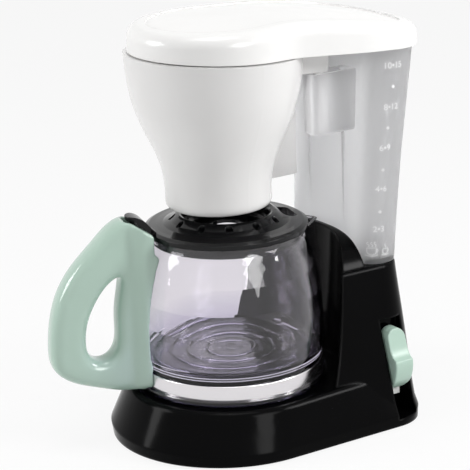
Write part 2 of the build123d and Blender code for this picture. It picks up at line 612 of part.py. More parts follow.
def funnel_solid(inset):
    """Body of revolution of the funnel, or its hollow."""
    with BuildPart() as body:
        with BuildSketch(Plane.XZ):
            with BuildLine():
                wall = [(r - inset, FUNNEL_BOTTOM + z) for r, z in FUNNEL]
                foot = (wall[0][0] - FUNNEL_EDGE_R, FUNNEL_BOTTOM + inset)
                Spline(*wall)
                Line(wall[-1], (0, wall[-1][1]))
                Line((0, wall[-1][1]), (0, foot[1]))
                Line((0, foot[1]), foot)
                Spline(foot, wall[0], tangents=((1, 0), (0, 1)))
            make_face()
        revolve(axis=Axis.Z)
    return body.part.moved(Location((0, FUNNEL_Y, 0)))


PEG_FOOT = PEG_LENGTH - 0.2
LEDGE_R = LID_FRONT_R - LID_WALL - LEDGE_W
with BuildPart() as filter_holder:
    add(funnel_solid(0.0))
    with BuildSketch(SWING_PLANE.offset(-ARM_DROP - FUNNEL_RIM_DROP)):
        with Locations(((ARM_X[0] + ARM_X[1]) / 2 - SWING[0], (ARM_Y[0] + ARM_Y[1]) / 2 - SWING[1])):
            RectangleRounded(ARM_X[1] - ARM_X[0], ARM_Y[1] - ARM_Y[0], 3.0)
    extrude(amount=ARM_DROP)
    with BuildSketch(SWING_PLANE.offset(-PEG_FOOT)):
        Circle(PEG_R)
    extrude(amount=PEG_FOOT - 6)
    box((FIN_X - FIN_T / 2, FIN_X + FIN_T / 2), (0, FIN_END_Y), (FUNNEL_BOTTOM + FIN_RISE, LID_Z0 + LID_H))
    add(funnel_solid(FUNNEL_WALL), mode=Mode.SUBTRACT)
    with BuildSketch(lid_plane(FUNNEL_RIM_DROP + LEDGE_T)):
        with Locations((0, FUNNEL_Y)):
            Circle(FUNNEL[-3][0] - FUNNEL_WALL / 2)
            Circle(LEDGE_R, mode=Mode.SUBTRACT)
    extrude(amount=LEDGE_T)
    rod(0, FUNNEL_Y, FUNNEL_BOTTOM - 1, FUNNEL_BOTTOM + 5, DRIP_R, Mode.SUBTRACT)
    trim_above(FUNNEL_RIM_DROP)
save(filter_holder.part, "filter_holder")

VALVE_FLANGE = 1.6
with BuildPart() as drip_valve:
    valve_z = FUNNEL_BOTTOM + FUNNEL_WALL
    rod(0, FUNNEL_Y, valve_z + 0.02, valve_z + 1.4, DRIP_R + VALVE_FLANGE)
    rod(0, FUNNEL_Y, FUNNEL_BOTTOM - 0.2, valve_z + 1.0, DRIP_R - 0.02)
    rod(0, FUNNEL_Y, FUNNEL_BOTTOM - 1, valve_z + 2, 1.6, Mode.SUBTRACT)
save(drip_valve.part, "drip_valve")

# ======================================================================
# Tank lid
# ======================================================================


def lid_outline(inset):
    """Pear outline of the lid in its own plane: round front, waist, wide rear."""
    turn = radians(LID_FRONT_TURN)
    front_r = LID_FRONT_R - inset
    side = [(front_r * cos(turn), FUNNEL_Y + front_r * sin(turn))]
    side += [(half_w - inset, y) for half_w, y in LID_SIDE]
    side += [(LID_HALF_W - inset, LID_REAR_Y - LID_REAR_R)]
    corner = (LID_HALF_W - LID_REAR_R, LID_REAR_Y - LID_REAR_R)
    with BuildLine() as outline:
        CenterArc((0, FUNNEL_Y), front_r, 180 - LID_FRONT_TURN, 180 + 2 * LID_FRONT_TURN)
        Spline(*side, tangents=((-sin(turn), cos(turn)), (0, 1)))
        CenterArc(corner, LID_REAR_R - inset, 0, 90)
        Line((corner[0], LID_REAR_Y - inset), (-corner[0], LID_REAR_Y - inset))
        CenterArc((-corner[0], corner[1]), LID_REAR_R - inset, 90, 90)
        Spline(*[(-x, y) for x, y in reversed(side)], tangents=((0, -1), (-sin(turn), -cos(turn))))
    make_face(outline.edges())


def lid_solid(inset):
    """Domed form of the lid, or its hollow."""
    start = lid_plane(0.0 if inset == 0 else 1.0)
    with BuildPart() as body:
        with BuildSketch(start):
            lid_outline(inset)
        extrude(amount=LID_H + 5)
        crown = lid_plane().from_local_coords((0, LID_CROWN_Y, LID_H - LID_DOME_R))
        with Locations(crown):
            Sphere(LID_DOME_R - inset, mode=Mode.INTERSECT)
        fillet(body.faces().sort_by(Axis.Z)[-1].edges(), LID_EDGE_R - inset * 0.5)
    return body.part


with BuildPart() as lid_dish:
    with BuildSketch(lid_plane(-6.0)):
        lid_outline(DISH_INSET)
    extrude(amount=30)
    crown = lid_plane().from_local_coords((0, LID_CROWN_Y, LID_H - LID_DOME_R))
    with Locations(crown):
        Sphere(LID_DOME_R - DISH_DEPTH, mode=Mode.SUBTRACT)
LUG_TOP = 7.0
with BuildPart() as tank_lid:
    add(lid_solid(0.0))
    add(lid_dish.part, mode=Mode.SUBTRACT)
    for side in (-1, 1):
        mid = side * (HINGE_LUG_X[0] + HINGE_LUG_X[1]) / 2
        half = (HINGE_LUG_X[1] - HINGE_LUG_X[0]) / 2
        with BuildSketch(Plane.YZ.offset(mid - half)):
            with Locations((HINGE_Y, HINGE_Z)):
                Circle(HINGE_R)
            with BuildLine():
                Polyline((HINGE_Y - HINGE_R, HINGE_Z), (HINGE_Y + HINGE_R, HINGE_Z),
                         (LID_REAR_Y - 0.5, HINGE_Z + HINGE_DROP), (LID_REAR_Y - 0.5, HINGE_Z + LUG_TOP),
                         (HINGE_Y - HINGE_R, HINGE_Z + LUG_TOP), close=True)
            make_face()
        extrude(amount=2 * half)
    add(lid_solid(LID_WALL), mode=Mode.SUBTRACT)
    with Locations(Location((0, HINGE_Y, HINGE_Z), (0, 90, 0))):
        Cylinder(HINGE_PIN_R + FIT, 60, mode=Mode.SUBTRACT)
save(tank_lid.part, "tank_lid")

with BuildPart() as lid_pin:
    with Locations(Location((0, HINGE_Y, HINGE_Z), (0, 90, 0))):
        Cylinder(HINGE_PIN_R, 2 * HINGE_PIN_HALF)
save(lid_pin.part, "lid_pin")

# ======================================================================
# Carafe
# ======================================================================
HANDLE_PLANE = Plane(origin=(0, 0, 0), x_dir=(sin(radians(HANDLE_AZ)), -cos(radians(HANDLE_AZ)), 0),
                     z_dir=(-cos(radians(HANDLE_AZ)), -sin(radians(HANDLE_AZ)), 0))


def revolved(points, smooth):
    """Solid of revolution from the axis out to a profile."""
    with BuildPart() as body:
        with BuildSketch(Plane.XZ):
            with BuildLine():
                if smooth:
                    Spline(*points)
                else:
                    Polyline(*points)
                Polyline(points[-1], (0, points[-1][1]), (0, points[0][1]), points[0])
            make_face()
        revolve(axis=Axis.Z)
    return body.part


def spout_solid(inset, top):
    """Teardrop that narrows downwards into the side of the bowl."""
    neck = BOWL[-1][0] - 0.6 - inset
    with BuildPart() as body:
        with BuildSketch(HANDLE_TOP_PLANE.offset(top)):
            Circle(neck)
            with Locations((0.6 - SPOUT_TIP_R + 4.0, 0)):
                Circle(4.0 - inset)
            make_hull()
        extrude(amount=-SPOUT_H, taper=38)
    return body.part


def grip_edges(handle):
    """The long curved edges round the grip and the finger opening."""
    curved = handle.edges().filter_by(GeomType.BSPLINE).filter_by(lambda e: e.length > BOWL[-1][0])
    return curved.filter_by(lambda e: abs(HANDLE_PLANE.to_local_coords(e @ 0.5).Z) > GRIP_HALF - RUN)


HANDLE_TOP_PLANE = Plane(origin=(0, 0, 0), x_dir=HANDLE_PLANE.x_dir, z_dir=(0, 0, 1))
HANDLE_END = HANDLE[6][0] + 10
CLID_PIN_AT = HANDLE_PLANE.location * Location((CLID_PIN[0], CLID_BASE + CLID_PIN[1], 0))

inner_bowl = [(r - GLASS, z) for r, z in BOWL[1:]]
inner_bowl = [(inner_bowl[0][0] - 3.0, FLOOR_Z), (inner_bowl[0][0] - 0.6, FLOOR_Z + 1.6)] + inner_bowl
bowl_outer = revolved(BOWL, True)
PEG_IN = BOWL[-1][0]
with BuildPart() as carafe_bowl:
    add(bowl_outer)
    add(spout_solid(0.0, RIM_Z - SPOUT_DROP))
    for z in HANDLE_PEG_Z:
        with Locations(HANDLE_PLANE.location * Location((PEG_IN, z, 0), (0, 90, 0))):
            Cylinder(HANDLE_PEG_R, HANDLE_PEG_END - PEG_IN,
                     align=(Align.CENTER, Align.CENTER, Align.MIN))
    add(revolved(inner_bowl + [(inner_bowl[-1][0], RIM_Z + 5)], False), mode=Mode.SUBTRACT)
    add(spout_solid(GLASS, RIM_Z - SPOUT_DROP + 0.01), mode=Mode.SUBTRACT)
save(carafe_bowl.part, "carafe_bowl")

with BuildPart() as carafe_foot:
    add(revolved(((FOOT_R_OUT - 1.4, CARAFE_Z), (FOOT_R_OUT, CARAFE_Z + 1.2), (FOOT_R_OUT, BAND_Z[0]),
                  (FOOT_NECK_R, BAND_Z[0]), (FOOT_NECK_R, FOOT_TOP)), False))
    add(revolved(((FOOT_NECK_R - GLASS - 1.0, CARAFE_Z - 1), (FOOT_NECK_R - GLASS, CARAFE_Z + 2),
                  (FOOT_NECK_R - GLASS, FOOT_TOP - GLASS)), False), mode=Mode.SUBTRACT)
save(carafe_foot.part, "carafe_foot")

with BuildPart() as carafe_band:
    rod(0, 0, BAND_Z[0] + 0.05, BAND_Z[1], FOOT_NECK_R + 0.03 + BAND_T)
    fillet(carafe_band.edges().sort_by(Axis.Z)[-1], 0.5)
    rod(0, 0, BAND_Z[0] - 1, BAND_Z[1] + 1, FOOT_NECK_R + 0.03, Mode.SUBTRACT)
save(carafe_band.part, "carafe_band")

bowl_room = revolved([(FOOT_R_OUT + SEAT, 20.0), (FOOT_R_OUT + SEAT, BAND_Z[0] + 0.4),
                      (FOOT_NECK_R + BAND_T + 0.13, BAND_Z[0] + 0.6),
                      (FOOT_NECK_R + BAND_T + 0.13, BOWL[0][1] + 0.2)], False)
bowl_room = bowl_room + revolved([(r + SEAT, z) for r, z in BOWL], True)

with BuildPart() as tab_side:
    with BuildSketch(HANDLE_PLANE):
        with BuildLine():
            Spline(*[(r, CLID_BASE + z) for r, z in TAB_UNDER])
            Line((TAB_UNDER[-1][0], CLID_BASE + TAB_UNDER[-1][1]),
                 (TAB_OVER[0][0], CLID_BASE + TAB_OVER[0][1]))
            Spline(*[(r, CLID_BASE + z) for r, z in TAB_OVER])
            Line((TAB_OVER[-1][0], CLID_BASE + TAB_OVER[-1][1]),
                 (TAB_UNDER[0][0], CLID_BASE + TAB_UNDER[0][1]))
        make_face()
    extrude(amount=TAB_HALF, both=True)
with BuildPart() as tab_plan:
    with BuildSketch(HANDLE_TOP_PLANE):
        with Locations((TAB_OVER[0][0] - TAB_HALF, 0)):
            Circle(TAB_HALF)
        with Locations((TAB_OVER[0][0] - TAB_HALF - CLID_RIM_R / 2, 0)):
            Rectangle(CLID_RIM_R, 2 * TAB_HALF)
    extrude(amount=BIG)
thumb_tab = tab_side.part & tab_plan.part
with BuildPart() as carafe_handle:
    with BuildSketch(HANDLE_PLANE):
        with BuildLine():
            Spline(*HANDLE)
            Polyline(HANDLE[-1], *HANDLE_TOP, HANDLE[0])
        make_face()
        with BuildLine():
            Spline(*FINGER, periodic=True)
        make_face(mode=Mode.SUBTRACT)
    extrude(amount=2 * PAD_FLARE[0][1], both=True)
    with BuildSketch(HANDLE_TOP_PLANE):
        with BuildLine():
            Line((0, PAD_FLARE[0][1]), PAD_FLARE[0])
            Spline(*PAD_FLARE, tangents=((1, 0), (1, 0)))
            Polyline(PAD_FLARE[-1], (HANDLE_END, GRIP_HALF), (HANDLE_END, -GRIP_HALF),
                     (PAD_FLARE[-1][0], -GRIP_HALF))
            Spline(*[(r, -w) for r, w in reversed(PAD_FLARE)], tangents=((-1, 0), (-1, 0)))
            Polyline((PAD_FLARE[0][0], -PAD_FLARE[0][1]), (0, -PAD_FLARE[0][1]), (0, PAD_FLARE[0][1]))
        make_face()
    extrude(amount=BIG, mode=Mode.INTERSECT)
    fillet(grip_edges(carafe_handle), HANDLE_EDGE_R)
    with BuildSketch(HANDLE_PLANE):
        with BuildLine():
            Polyline(*[(r, CLID_BASE + z) for r, z in TAB_SLOT], close=True)
        make_face()
    extrude(amount=TAB_HALF + RUN, both=True, mode=Mode.SUBTRACT)
    add(bowl_room, mode=Mode.SUBTRACT)
    rod(0, 0, CLID_BASE - 1, CLID_BASE + 30, CLID_RIM_R + 0.6, Mode.SUBTRACT)
    for z in HANDLE_PEG_Z:
        with Locations(HANDLE_PLANE.location * Location((PEG_IN, z, 0), (0, 90, 0))):
            Cylinder(HANDLE_PEG_R + SEAT, HANDLE_PEG_END + SEAT - PEG_IN,
                     align=(Align.CENTER, Align.CENTER, Align.MIN), mode=Mode.SUBTRACT)
    with Locations(CLID_PIN_AT):
        Cylinder(CLID_PIN_R + 0.02, 2 * CLID_PIN_HALF + 0.2, mode=Mode.SUBTRACT)
save(carafe_handle.part, "carafe_handle")

NOTCH_TURN = degrees(atan((NOTCH_HALF + STEAM_SLOT_R) / STEAM_SLOT_AT))
with BuildPart() as carafe_lid:
    with BuildSketch(Plane.XZ):
        with BuildLine():
            rim = [(r, CLID_BASE + z) for r, z in CLID_TOP + CLID_UNDER]
            Polyline(*rim, close=True)
        make_face()
    revolve(axis=Axis.Z)
    add(thumb_tab)
    with BuildSketch(HANDLE_PLANE):
        with Locations((CLID_PIN[0], CLID_BASE + CLID_PIN[1])):
            Circle(CLID_LUG_R)
        with BuildLine():
            Polyline((CLID_RIM_R - 1, CLID_BASE + 0.6),
                     (CLID_PIN[0], CLID_BASE + CLID_PIN[1] - CLID_LUG_R),
                     (CLID_PIN[0] + 1, CLID_BASE + CLID_PIN[1] + 2), (CLID_RIM_R - 1, CLID_BASE + 2.9),
                     close=True)
        make_face()
    extrude(amount=TAB_HALF, both=True)
    with BuildSketch(HANDLE_TOP_PLANE.offset(CLID_BASE - 8)):
        with Locations((-(NOTCH_R[0] + NOTCH_R[1]) / 2, 0)):
            RectangleRounded(NOTCH_R[1] - NOTCH_R[0], 2 * NOTCH_HALF, 3.0)
    extrude(amount=8 + 2 * CLID_COLLAR, mode=Mode.SUBTRACT)
    for i in range(STEAM_SLOTS):
        angle = 360.0 / STEAM_SLOTS * (i + 0.5)
        if abs(angle - 180) > NOTCH_TURN:
            turn = radians(angle + HANDLE_AZ - 90)
            rod(STEAM_SLOT_AT * cos(turn), STEAM_SLOT_AT * sin(turn), CLID_BASE - 1,
                CLID_BASE + 2 * CLID_COLLAR, STEAM_SLOT_R, Mode.SUBTRACT)
    with Locations(CLID_PIN_AT):
        Cylinder(CLID_PIN_R + FIT, 4 * TAB_HALF, mode=Mode.SUBTRACT)
save(carafe_lid.part, "carafe_lid")

with BuildPart() as carafe_lid_pin:
    with Locations(CLID_PIN_AT):
        Cylinder(CLID_PIN_R, 2 * CLID_PIN_HALF)
save(carafe_lid_pin.part, "carafe_lid_pin")
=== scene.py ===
"""Looks of the toy coffee maker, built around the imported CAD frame. Metres."""
import json
import math

import bmesh
import bpy
from mathutils import Matrix, Vector
from mathutils.bvhtree import BVHTree

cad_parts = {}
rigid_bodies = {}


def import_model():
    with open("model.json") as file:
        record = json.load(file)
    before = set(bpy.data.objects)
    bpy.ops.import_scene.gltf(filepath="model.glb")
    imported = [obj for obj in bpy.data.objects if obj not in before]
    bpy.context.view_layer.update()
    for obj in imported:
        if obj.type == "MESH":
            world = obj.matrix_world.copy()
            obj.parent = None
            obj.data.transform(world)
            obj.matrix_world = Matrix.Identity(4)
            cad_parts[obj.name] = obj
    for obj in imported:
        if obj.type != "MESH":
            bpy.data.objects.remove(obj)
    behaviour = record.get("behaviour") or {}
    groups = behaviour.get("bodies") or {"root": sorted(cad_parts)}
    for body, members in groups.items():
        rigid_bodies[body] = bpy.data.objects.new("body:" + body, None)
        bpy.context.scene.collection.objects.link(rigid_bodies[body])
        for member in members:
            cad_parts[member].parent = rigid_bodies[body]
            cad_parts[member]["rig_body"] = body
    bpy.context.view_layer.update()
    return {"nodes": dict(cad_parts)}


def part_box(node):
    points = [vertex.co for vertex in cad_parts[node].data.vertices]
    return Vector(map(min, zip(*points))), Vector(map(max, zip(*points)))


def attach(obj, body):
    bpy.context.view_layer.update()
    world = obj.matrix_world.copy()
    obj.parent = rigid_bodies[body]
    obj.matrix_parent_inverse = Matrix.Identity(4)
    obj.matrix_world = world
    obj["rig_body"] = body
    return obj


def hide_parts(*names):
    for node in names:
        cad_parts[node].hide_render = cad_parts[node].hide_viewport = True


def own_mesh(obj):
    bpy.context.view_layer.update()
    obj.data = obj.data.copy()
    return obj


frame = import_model()
NODES = frame["nodes"]
MM = 0.001

# ---- camera and light -----------------------------------------------------
# angles in degrees; the camera looks at a point CAM_SIDE beside the carafe's axis
CAM_AZ = 57.0
CAM_EL = 17.2
CAM_ROLL = -2.1
CAM_DIST = 1.0
CAM_LENS = 152.04
CAM_SENSOR = 36.0
CAM_NEAR = 0.05
CAM_SIDE = 0.0041
CAM_HEIGHT = 0.101
# strength of the world for the rays that light the object
FILL = 0.33
FLOOR_HALF = 3.0
FLOOR_GREY = 0.86
# share of the floor's own shade that the camera sees
FLOOR_SHADOW = 0.12
# azimuth and elevation in degrees, distance, side and watts of each square soft box
LAMPS = {
    "left": (-27.0, 22.0, 1.0, 0.40, 4.0),
    "right": (130.0, 28.0, 1.0, 0.32, 5.8),
    "window": (93.0, 17.0, 1.0, 0.40, 3.6),
    "top": (60.0, 82.0, 1.1, 0.5, 3.4),
}
LAMP_CENTRE = 0.1
LAMP_ROLL = 45.0
# lamps that only show as reflections
MIRRORED_ONLY = ("window",)


def link(obj):
    """Put an object in the scene."""
    bpy.context.scene.collection.objects.link(obj)
    return obj


def direction(azimuth, elevation):
    """Unit vector from the object towards a camera or lamp, angles in degrees."""
    az, el = math.radians(azimuth), math.radians(elevation)
    return Vector((math.sin(az) * math.cos(el), -math.cos(az) * math.cos(el), math.sin(el)))


def make_camera():
    """Camera at the photograph's angle."""
    back = direction(CAM_AZ, CAM_EL)
    right = direction(CAM_AZ + 90.0, 0.0)
    up = back.cross(right)
    roll = math.radians(CAM_ROLL)
    right_rolled = right * math.cos(roll) + up * math.sin(roll)
    up_rolled = up * math.cos(roll) - right * math.sin(roll)
    place = right * CAM_SIDE + Vector((0, 0, CAM_HEIGHT)) + back * CAM_DIST
    data = bpy.data.cameras.new("camera")
    data.lens = CAM_LENS
    data.sensor_width = CAM_SENSOR
    data.clip_start = CAM_NEAR
    camera = link(bpy.data.objects.new("camera", data))
    turn = Matrix((right_rolled, up_rolled, back)).transposed()
    camera.matrix_world = Matrix.Translation(place) @ turn.to_4x4()
    bpy.context.scene.camera = camera


def make_lamp(name, azimuth, elevation, reach, side, power):
    """One square soft box that faces the object."""
    data = bpy.data.lights.new(name, "AREA")
    data.shape = "RECTANGLE"
    data.size = data.size_y = side
    data.energy = power
    lamp = link(bpy.data.objects.new(name, data))
    centre = Vector((0, 0, LAMP_CENTRE))
    lamp.location = centre + direction(azimuth, elevation) * reach
    lamp.rotation_euler = (centre - lamp.location).to_track_quat("-Z", "Y").to_euler()
    lamp.rotation_euler.rotate_axis("Z", math.radians(LAMP_ROLL))
    lamp.visible_diffuse = name not in MIRRORED_ONLY


# ---- shader helpers -------------------------------------------------------
def add(tree, kind, **values):
    """New shader node with fixed values on its own sockets."""
    node = tree.nodes.new(f"ShaderNode{kind}")
    for key, value in values.items():
        node.inputs[key.replace("_", " ")].default_value = value
    return node


def feed(tree, value, socket):
    """Set a socket to a number, or link it to an output."""
    if isinstance(value, float):
        socket.default_value = value
    else:
        tree.links.new(value, socket)


def combine(tree, operation, first, second):
    """Maths on an output and a number or a second output."""
    node = add(tree, "Math")
    node.operation = operation
    tree.links.new(first, node.inputs[0])
    feed(tree, second, node.inputs[1])
    return node.outputs[0]


def mix_shaders(tree, share, first, second):
    """Mix of two shaders, from the first at share 0 to the second at 1."""
    node = add(tree, "MixShader")
    feed(tree, share, node.inputs[0])
    tree.links.new(first, node.inputs[1])
    tree.links.new(second, node.inputs[2])
    return node.outputs[0]


def seen_rays(tree):
    """1 for camera, glossy and transmission rays, 0 for the rest."""
    path = add(tree, "LightPath").outputs
    straight = combine(tree, "MAXIMUM", path["Is Camera Ray"], path["Is Glossy Ray"])
    return combine(tree, "MAXIMUM", straight, path["Is Transmission Ray"])


def make_world():
    """White for camera, glossy and transmission rays; a soft grey fill for the rest."""
    world = bpy.data.worlds.new("studio")
    bpy.context.scene.world = world
    world.use_nodes = True
    tree = world.node_tree
    tree.nodes.clear()
    out = add(tree, "OutputWorld")
    white = add(tree, "Background", Color=(1, 1, 1, 1))
    fill = add(tree, "Background", Color=(1, 1, 1, 1), Strength=FILL)
    both = mix_shaders(tree, seen_rays(tree), fill.outputs[0], white.outputs[0])
    tree.links.new(both, out.inputs[0])


def make_floor():
    """Pale floor that keeps the shadow and reads white to the camera."""
    mesh = bpy.data.meshes.new("floor")
    h = FLOOR_HALF
    mesh.from_pydata([(-h, -h, 0), (h, -h, 0), (h, h, 0), (-h, h, 0)], [], [(0, 1, 2, 3)])
    floor = link(bpy.data.objects.new("floor", mesh))
    mat = bpy.data.materials.new("floor")
    mat.use_nodes = True
    tree = mat.node_tree
    tree.nodes.clear()
    out = add(tree, "OutputMaterial")
    matt = add(tree, "BsdfDiffuse", Color=(FLOOR_GREY, FLOOR_GREY, FLOOR_GREY, 1))
    glow = add(tree, "Emission", Strength=1.0)
    share = combine(tree, "MULTIPLY", seen_rays(tree), 1.0 - FLOOR_SHADOW)
    tree.links.new(mix_shaders(tree, share, matt.outputs[0], glow.outputs[0]), out.inputs[0])
    mesh.materials.append(mat)


bpy.context.scene.view_settings.view_transform = "Standard"
make_camera()
make_world()
make_floor()
for lamp_name, lamp_facts in LAMPS.items():
    make_lamp(lamp_name, *lamp_facts)

# ---- material functions ---------------------------------------------------
# noise scales, per metre: tone drift, haze in the gloss and flow ripple of moulded plastic
TONE_SCALE = 22.0
HAZE_SCALE = 55.0
FLOW_SCALE = 130.0
FLOW_STRENGTH = 0.02
FLOW_DEPTH = 0.4 * MM
BEVEL_SAMPLES = 6
# clear plastic: haze and ripple, and the turned rings and painted shade low on the bowl
CLEAR_HAZE_SCALE = 40.0
CLEAR_FLOW_SCALE = 45.0
CLEAR_DEPTH = 0.5 * MM
RING_WANDER = 0.15
RING_STRENGTH = 0.3
# heights between which the turned rings and the painted shade low on the bowl fade out
RING_FADE = (0.042, 0.056)
# painted shade: darker violet colour the bowl takes low down, standing in for the dark
# reflections in its floor
BOWL_FLOOR_SHADE = (0.60, 0.57, 0.69)
# from pocket to tank along Y, how milky the pocket is, and the pale colour painted on the
# pocket as light
POCKET_FADE = (0.050, 0.058)
POCKET_BODY = 0.9
# painted light: paler milk on the pocket than on the tank, standing in for the brighter light
# the pocket shows
POCKET_PAINTED_LIGHT = (0.88, 0.88, 0.885)
FROST_HAZE_SCALE = 30.0
FROST_SCALE = 900.0
MILK_SCALE = 60.0
MILK_ROUGH = 0.35
FROST_SHADOW = (0.82, 0.82, 0.82)
METAL_HAZE_SCALE = 300.0
METAL_LINE_SCALE = 260.0
PRINT_SCALE = 900.0


def new_material(name, base, rough, **sockets):
    """Principled material with its fixed values on its own sockets."""
    mat = bpy.data.materials.new(name)
    mat.use_nodes = True
    shader = mat.node_tree.nodes["Principled BSDF"]
    shader.inputs["Base Color"].default_value = (*base, 1.0)
    shader.inputs["Roughness"].default_value = rough
    for key, value in sockets.items():
        shader.inputs[key.replace("_", " ")].default_value = value
    return mat, mat.node_tree, shader


def coords(tree):
    """Object coordinates, which are the frame's own metres."""
    return add(tree, "TexCoord").outputs["Object"]


def noise(tree, scale, detail=3.0, stretch=None):
    """Noise over the frame's coordinates."""
    node = add(tree, "TexNoise", Scale=scale, Detail=detail)
    source = coords(tree)
    if stretch:
        mapping = add(tree, "Mapping", Scale=stretch)
        tree.links.new(source, mapping.inputs[0])
        source = mapping.outputs[0]
    tree.links.new(source, node.inputs["Vector"])
    return node.outputs["Fac"]


def fade(tree, axis, start, end):
    """0 before start and 1 past end, along one axis of the frame."""
    split = add(tree, "SeparateXYZ")
    tree.links.new(coords(tree), split.inputs[0])
    node = add(tree, "MapRange", From_Min=start, From_Max=end)
    tree.links.new(split.outputs[axis], node.inputs["Value"])
    return node.outputs[0]


def ramp(tree, source, low, high, start=0.3, end=0.7):
    """Ramp between two colours or greys."""
    node = add(tree, "ValToRGB")
    tree.links.new(source, node.inputs[0])
    for element, place, value in zip(node.color_ramp.elements, (start, end), (low, high)):
        element.position = place
        element.color = (*((value,) * 3 if isinstance(value, float) else value), 1)
    return node.outputs[0]


def bump(tree, shader, source, strength, depth, edge=0.0):
    """Fine surface relief, with softened edges where edge is given."""
    node = add(tree, "Bump", Strength=strength, Distance=depth)
    tree.links.new(source, node.inputs["Height"])
    if edge:
        bevel = add(tree, "Bevel", Radius=edge)
        bevel.samples = BEVEL_SAMPLES
        tree.links.new(bevel.outputs[0], node.inputs["Normal"])
    tree.links.new(node.outputs[0], shader.inputs["Normal"])


def thin_shadow(tree, surface, colour):
    """End a see-through material with a shadow that lets tinted light through."""
    thin = add(tree, "BsdfTransparent", Color=(*colour, 1))
    shadow_ray = add(tree, "LightPath").outputs["Is Shadow Ray"]
    both = mix_shaders(tree, shadow_ray, surface, thin.outputs[0])
    tree.links.new(both, tree.nodes["Material Output"].inputs[0])


def plastic(name, base, rough, spread, tint=0.03, edge=0.5 * MM, **sockets):
    """Moulded plastic: slight tone drift, handling haze in the gloss, and flow ripple."""
    mat, tree, shader = new_material(name, base, rough, **sockets)
    low = tuple(c * (1 - tint) for c in base)
    high = tuple(min(c * (1 + tint), 1.0) for c in base)
    tone = ramp(tree, noise(tree, TONE_SCALE), low, high)
    haze = ramp(tree, noise(tree, HAZE_SCALE, 5.0), rough, rough + spread)
    tree.links.new(tone, shader.inputs["Base Color"])
    tree.links.new(haze, shader.inputs["Roughness"])
    bump(tree, shader, noise(tree, FLOW_SCALE, 2.0), FLOW_STRENGTH, FLOW_DEPTH, edge)
    return mat


def clear_plastic(name, base, rough, ior, shadow, spread, rings=0.0):
    """See-through plastic with a tinted shadow, and turned rings with painted shade low down if
    asked.
    """
    mat, tree, shader = new_material(name, base, rough, IOR=ior, Transmission_Weight=1.0)
    haze = ramp(tree, noise(tree, CLEAR_HAZE_SCALE), rough, rough + spread)
    tree.links.new(haze, shader.inputs["Roughness"])
    if rings:
        turned = add(tree, "TexWave", Scale=rings, Distortion=RING_WANDER)
        turned.wave_type = "RINGS"
        turned.rings_direction = "Z"
        tree.links.new(coords(tree), turned.inputs["Vector"])
        height = fade(tree, "Z", *RING_FADE)
        # painted shade: the bowl's colour darkens low down
        tone = ramp(tree, height, BOWL_FLOOR_SHADE, base, 0.0, 1.0)
        tree.links.new(tone, shader.inputs["Base Color"])
        low_down = ramp(tree, height, 1.0, 0.0, 0.0, 1.0)
        relief = combine(tree, "MULTIPLY", turned.outputs["Fac"], low_down)
        bump(tree, shader, relief, RING_STRENGTH, CLEAR_DEPTH)
    else:
        bump(tree, shader, noise(tree, CLEAR_FLOW_SCALE, 2.0), FLOW_STRENGTH, CLEAR_DEPTH)
    thin_shadow(tree, shader.outputs[0], shadow)
    return mat


def frosted(name, tint, base, rough, body, glow):
    """Frosted tank: part see-through, part milky, with light coming through the milk, and
    painted light on the pocket.
    """
    mat, tree, shader = new_material(name, tint, rough, IOR=1.3, Transmission_Weight=1.0)
    haze = ramp(tree, noise(tree, FROST_HAZE_SCALE), rough, rough + 0.06)
    tree.links.new(haze, shader.inputs["Roughness"])
    bump(tree, shader, noise(tree, FROST_SCALE, 2.0), 0.05, 0.1 * MM, 0.4 * MM)
    milk = add(tree, "BsdfPrincipled", Roughness=MILK_ROUGH)
    clouds = ramp(tree, noise(tree, MILK_SCALE, 4.0), tuple(0.96 * c for c in base), base)
    tree.links.new(clouds, milk.inputs["Base Color"])
    through = add(tree, "BsdfTranslucent")
    lit = mix_shaders(tree, glow, milk.outputs[0], through.outputs[0])
    back = fade(tree, "Y", *POCKET_FADE)
    # painted light: the milk turns paler on the pocket side
    tree.links.new(ramp(tree, back, POCKET_PAINTED_LIGHT, base, 0.0, 1.0), through.inputs["Color"])
    share = ramp(tree, back, POCKET_BODY, body, 0.0, 1.0)
    thin_shadow(tree, mix_shaders(tree, share, shader.outputs[0], lit), FROST_SHADOW)
    return mat


def metal(name, base, rough, stretch, edge=0.0):
    """Bright metal or foil with fine lines."""
    mat, tree, shader = new_material(name, base, rough, Metallic=1.0)
    haze = ramp(tree, noise(tree, METAL_HAZE_SCALE, 4.0, stretch), rough, rough + 0.1)
    tree.links.new(haze, shader.inputs["Roughness"])
    bump(tree, shader, noise(tree, METAL_LINE_SCALE, 3.0, stretch), 0.04, 0.1 * MM, edge)
    return mat


def printed(name, low, high):
    """White ink with a slight unevenness."""
    mat, tree, shader = new_material(name, (0.97, 0.97, 0.97), 0.35)
    tree.links.new(ramp(tree, noise(tree, PRINT_SCALE), low, high), shader.inputs["Base Color"])
    return mat


def dress(mat, *names):
    """Put one material on CAD nodes."""
    for name in names:
        mesh = NODES[name].data
        mesh.materials.clear()
        mesh.materials.append(mat)


# ---- materials ------------------------------------------------------------
WHITE = plastic("white_gloss", (0.83, 0.822, 0.815), 0.16, 0.06)
